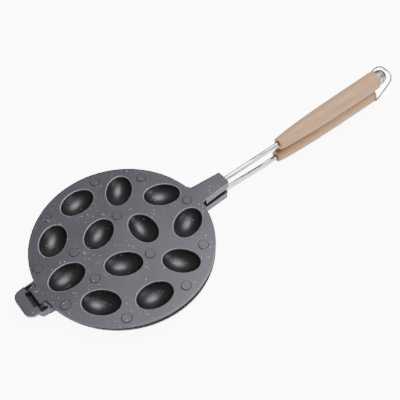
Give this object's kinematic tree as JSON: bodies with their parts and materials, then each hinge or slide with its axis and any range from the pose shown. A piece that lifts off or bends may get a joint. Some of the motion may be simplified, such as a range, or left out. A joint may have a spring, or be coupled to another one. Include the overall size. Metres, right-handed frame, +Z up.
{
  "type": "walnut cookie mold",
  "caption": "Round stovetop mold for walnut-shaped cookies: two hinged dark coated plates with oval hollows, a split wooden handle and a wire bail.",
  "frame": {"origin": "on the table, under the middle of the mold's bounding box", "axes": "+X along the handle away from the hinge, +Z up, the lower plate level"},
  "size_m": [0.447, 0.17, 0.0464],
  "materials": {
    "plate_coating": "cast aluminium with a dark grey non-stick coating",
    "rod_steel": "polished steel rod",
    "grip_wood": "pale beech, unvarnished",
    "cap_metal": "grey turned metal",
    "bail_wire": "bright drawn wire",
    "pin_steel": "plain steel"
  },
  "bodies": {
    "lower_mold": {"lower_plate": "plate_coating", "hinge_pin": "pin_steel", "lower_rod": "rod_steel", "lower_grip": "grip_wood", "end_washer": "pin_steel", "end_nut": "pin_steel"},
    "upper_mold": {"upper_plate": "plate_coating", "upper_rod": "rod_steel", "upper_grip": "grip_wood", "grip_collar": "cap_metal", "cap_nut": "cap_metal"},
    "bail": {"bail": "bail_wire"}
  },
  "joints": [
    {"name": "mold_hinge", "type": "hinge", "parent": "lower_mold", "child": "upper_mold", "pos_m": [-0.20516, 0, 0.0136], "axis": [0, -1, 0], "range_deg": [0, 105]},
    {"name": "bail_swing", "type": "hinge", "parent": "lower_mold", "child": "bail", "pos_m": [0.20222, 0, 0.01716], "axis": [0, 1, 0], "range_deg": [-28, 80]}
  ]
}
